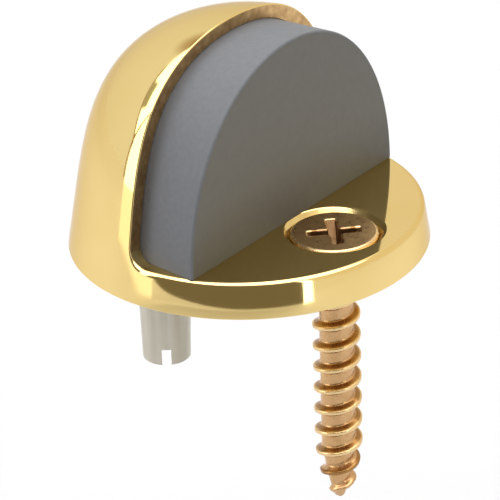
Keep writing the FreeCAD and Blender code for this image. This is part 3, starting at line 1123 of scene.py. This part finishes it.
def rubber_face():
    """Front of the bumper: smoother and warmer than the sides, with painted shade darkest along the flange.
    """
    shade = Shade("rubber_face", Specular_IOR_Level=0.3)
    # painted shade: the front face's colour darkens towards the flange
    rise = shade.span(shade.add("SeparateXYZ", {"Vector": shade.place})["Z"], 0.0, 1.0,
                      face_shade_low * MM, face_shade_high * MM)
    fade = shade.stir(rise, shade.noise(1500.0, 5.0), 0.16)
    stops = [(0.02, (0.088, 0.087, 0.078)), (1.0, (0.131, 0.130, 0.121))]
    shade.feed(shade.ramp(fade, stops), "Base Color")
    shade.feed(shade.span(shade.noise(900.0, 4.0), 0.50, 0.62), "Roughness")
    shade.bump(shade.noise(3200.0, 4.0), 0.010, 0.25)
    return shade.material


def plated_screw():
    """Thin brass plating: bright on the crests, with painted shade darkening the flanks between them, and
    dull on the core.
    """
    shade = Shade("plated_screw", Metallic=1.0)
    split = shade.add("SeparateXYZ", {"Vector": shade.place})
    shift = shade.add("Math", {0: split["Y"], 1: -screw_y * MM}, operation="ADD")[0]
    reach = shade.length(shade.add("CombineXYZ", {"X": split["X"], "Y": shift})["Vector"])
    away = shade.span(reach, 0.0, 1.0, screw_root_radius * MM, screw_crest_radius * MM)
    flank_shade_share = shade.stir(away, shade.noise(900.0, 5.0), 0.16)
    # painted shade: the dark stops on the flanks stand in for shade between the thread's turns
    stops = [(0.06, (0.65, 0.405, 0.198)), (0.14, (0.56, 0.322, 0.138)), (0.30, (0.34, 0.170, 0.058)),
             (0.75, (0.42, 0.225, 0.075)), (1.0, (0.86, 0.62, 0.32))]
    shade.feed(shade.ramp(flank_shade_share, stops), "Base Color")
    shade.feed(shade.span(shade.noise(1100.0, 4.0), 0.18, 0.36), "Roughness")
    shade.bump(shade.noise(1800.0, 4.0), 0.02, 0.35)
    return shade.material


def plated_face():
    return clouded("plated_face", (1600.0, 5.0), (0.52, 0.33, 0.145), (0.60, 0.39, 0.18),
                   (1200.0, 4.0), (0.26, 0.36), Metallic=1.0)[0].material


# painted shade: dark colour standing in for the shade inside the cross recess
def recess_painted_shade():
    return clouded("recess_painted_shade", (1500.0, 4.0), (0.17, 0.092, 0.040), (0.25, 0.142, 0.066),
                   (1100.0, 4.0), (0.36, 0.5), Metallic=1.0)[0].material


def drawn_steel(name, dark, light, rough):
    shade, streaks = clouded(name, (500.0, 4.0, (1.0, 1.0, 0.06)), dark, light,
                             (900.0, 4.0), (rough, rough + 0.12), Metallic=1.0)
    shade.bump(streaks, 0.02, 0.25)
    return shade.material


def studio_floor():
    """Pale floor, a little darker far from the object."""
    shade = Shade("studio_floor", Specular_IOR_Level=0.0)
    fade = shade.span(shade.length(shade.place), 0.0, 1.0, 300 * MM, 750 * MM)
    cloud = shade.stir(fade, shade.noise(5.0, 3.0), 0.05)
    shade.feed(shade.ramp(cloud, [(0.0, floor_near), (1.0, floor_far)]), "Base Color")
    shade.feed(shade.span(shade.noise(8.0, 2.0), 0.75, 0.9), "Roughness")
    return shade.material


def dress(item, materials):
    if len(item.data.materials):
        item.data.materials.clear()
    for material in materials:
        item.data.materials.append(material)


# ---- stage ----
floor_near = (0.513, 0.517, 0.530)
floor_far = (0.452, 0.445, 0.428)
card_top = 420
dull_card = (0.195, 0.172, 0.130)


def card(name, left, right, distance, low, high, colour, strength, rise=0.0):
    """Upright panel curved round the object, from one azimuth to another.

    Azimuth is in degrees to the right of the camera, seen from above. rise is how far the panel's
    lower edge climbs towards its left end.
    """
    strips = 24
    corners = []
    for step in range(strips + 1):
        side = step / strips
        angle = math.radians(camera_azimuth - 90.0 + left + (right - left) * side)
        across, along = math.cos(angle) * distance, math.sin(angle) * distance
        foot = low + rise * max(0.0, 1.0 - side / 0.6) ** 1.5
        corners.append((across * MM, along * MM, foot * MM))
        corners.append((across * MM, along * MM, high * MM))
    mesh = bpy.data.meshes.new(name)
    mesh.from_pydata(corners, [], [(2 * k, 2 * k + 2, 2 * k + 3, 2 * k + 1) for k in range(strips)])
    item = add_item(name, mesh)
    shade = Shade(name, Base_Color=(0, 0, 0, 1), Specular_IOR_Level=0.0, Emission_Color=(*colour, 1),
                  Emission_Strength=strength)
    mesh.materials.append(shade.material)
    item.visible_camera = False
    item.visible_shadow = False


def make_stage():
    reach = 3000 * MM
    floor_mesh = bpy.data.meshes.new("floor")
    height = floor_height * MM
    signs = ((-1, -1), (1, -1), (1, 1), (-1, 1))
    floor_mesh.from_pydata([(a * reach, b * reach, height) for a, b in signs], [], [(0, 1, 2, 3)])
    floor = add_item("floor", floor_mesh)
    dress(floor, [studio_floor()])
    card("card_left", -90.4, -61.6, 450, -30, card_top, (1.0, 1.0, 1.0), 2.6)
    card("card_left_foot", -90.4, -61.6, 450, floor_height, -30, (1.0, 0.97, 0.90), 1.45)
    card("card_left_frame", -91.8, -90.6, 440, -20, card_top, (0.30, 0.20, 0.09), 1.0)
    card("card_front", -65.5, 31.0, 430, -89, card_top, dull_card, 1.0, 30.0)
    card("card_front_end", -76.0, -65.5, 430, -62, -15, dull_card, 1.0, 25.0)
    card("card_strip", 30.5, 37.1, 450, floor_height, card_top, (1.0, 1.0, 1.0), 3.4)


def toward(azimuth, elevation):
    """Unit vector. Azimuth is in degrees to the right of the camera, seen from above."""
    angle = math.radians(camera_azimuth - 90.0 + azimuth)
    rise = math.radians(elevation)
    return Vector((math.cos(angle) * math.cos(rise), math.sin(angle) * math.cos(rise), math.sin(rise)))


def make_world():
    """Even surround with a broad light overhead and to the left, and two dull patches."""
    world = bpy.data.worlds.new("world")
    bpy.context.scene.world = world
    world.use_nodes = True
    tree = world.node_tree
    background = tree.nodes["Background"]
    place = tree.nodes.new("ShaderNodeTexCoord").outputs["Generated"]

    def patch(azimuth, elevation, edge, softness):
        """1 within edge degrees of a direction, fading to 0 over softness degrees."""
        dot = add_node(tree, "VectorMath", {0: place, 1: toward(azimuth, elevation)}, operation="DOT_PRODUCT")
        start, end = (math.cos(math.radians(turn)) for turn in (edge + softness, edge))
        inputs = {"Value": dot["Value"], "From Min": start, "From Max": end}
        return add_node(tree, "MapRange", inputs, interpolation_type="SMOOTHSTEP")["Result"]

    def blend(below, colour, share):
        inputs = {"Factor": share, "A": below, "B": (*colour, 1)}
        return add_node(tree, "Mix", inputs, data_type="RGBA")["Result"]

    def masked(a, b, invert=False):
        if invert:
            b = add_node(tree, "Math", {0: 1.0, 1: b}, operation="SUBTRACT")[0]
        return add_node(tree, "Math", {0: a, 1: b}, operation="MULTIPLY")[0]

    colour = blend((0.92, 0.92, 0.92, 1), (0.88, 0.80, 0.66), patch(105.0, 12.0, 52.0, 30.0))
    colour = blend(colour, (0.47, 0.35, 0.235), patch(-168.0, 46.0, 6.0, 11.0))
    colour = blend(colour, (2.9, 2.9, 2.9), patch(0.0, 90.0, 34.0, 5.0))
    left = masked(patch(-105.0, 50.0, 48.0, 14.0), patch(-145.0, -15.0, 57.0, 1.2), True)
    colour = blend(colour, (3.0, 3.0, 3.0), left)
    band = masked(patch(-145.0, -15.0, 61.0, 1.5), patch(-145.0, -15.0, 57.5, 1.0), True)
    band = masked(band, patch(-112.0, 32.0, 8.0, 4.0))
    colour = blend(colour, (0.42, 0.43, 0.32), band)
    line = masked(patch(-145.0, -15.0, 57.8, 0.5), patch(-145.0, -15.0, 56.6, 0.6), True)
    line = masked(line, patch(-105.0, 20.0, 28.0, 12.0))
    colour = blend(colour, (0.32, 0.22, 0.10), line)
    tree.links.new(colour, background.inputs["Color"])
    background.inputs["Strength"].default_value = 1.0


def make_camera():
    azimuth = math.radians(camera_azimuth)
    elevation = math.radians(camera_elevation)
    roll = math.radians(camera_roll)
    back = Vector((math.sin(azimuth) * math.cos(elevation), -math.cos(azimuth) * math.cos(elevation),
                   math.sin(elevation)))
    right = Vector((math.cos(azimuth), math.sin(azimuth), 0))
    up = back.cross(right)
    rolled_right = math.cos(roll) * right + math.sin(roll) * up
    rolled_up = math.cos(roll) * up - math.sin(roll) * right
    data = bpy.data.cameras.new("camera")
    data.sensor_width = sensor_width
    data.lens = camera_distance * sensor_width / view_width
    camera = add_item("camera", data)
    camera.matrix_world = Matrix((rolled_right, rolled_up, back)).transposed().to_4x4()
    camera.location = MM * (camera_distance * back - view_right * rolled_right - view_up * rolled_up)
    data.clip_start = 0.01
    bpy.context.scene.camera = camera


# ---- assemble ----
pin_steel = drawn_steel("pin_steel", (0.435, 0.408, 0.335), (0.575, 0.542, 0.462), 0.30)
pieces = (
    (dome_body(), "dome_body", "stop", "polished_brass", [polished_brass(), ground_rim(), machined_seat()]),
    (rubber_bumper(), "rubber_bumper", "stop", "grey_rubber", [moulded_rubber(), rubber_face()]),
    (mounting_screw(), "mounting_screw", "screw", "brass_plated_steel",
     [plated_screw(), plated_face(), recess_painted_shade()]),
    (anchor_pin(), "anchor_pin", "stop", "pin_steel", [pin_steel]),
)
for item, node, body, slot_name, materials in pieces:
    dress(item, materials)
    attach(item, body)
    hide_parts(node)
dress(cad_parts["bumper_insert"],
      [drawn_steel("insert_brass", (0.66, 0.50, 0.23), (0.78, 0.60, 0.30), 0.22)])
dress(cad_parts["bumper_screw"],
      [drawn_steel("zinc_steel", (0.56, 0.57, 0.58), (0.68, 0.69, 0.70), 0.24)])

make_stage()
make_world()
make_camera()
bpy.context.scene.view_settings.view_transform = "Standard"
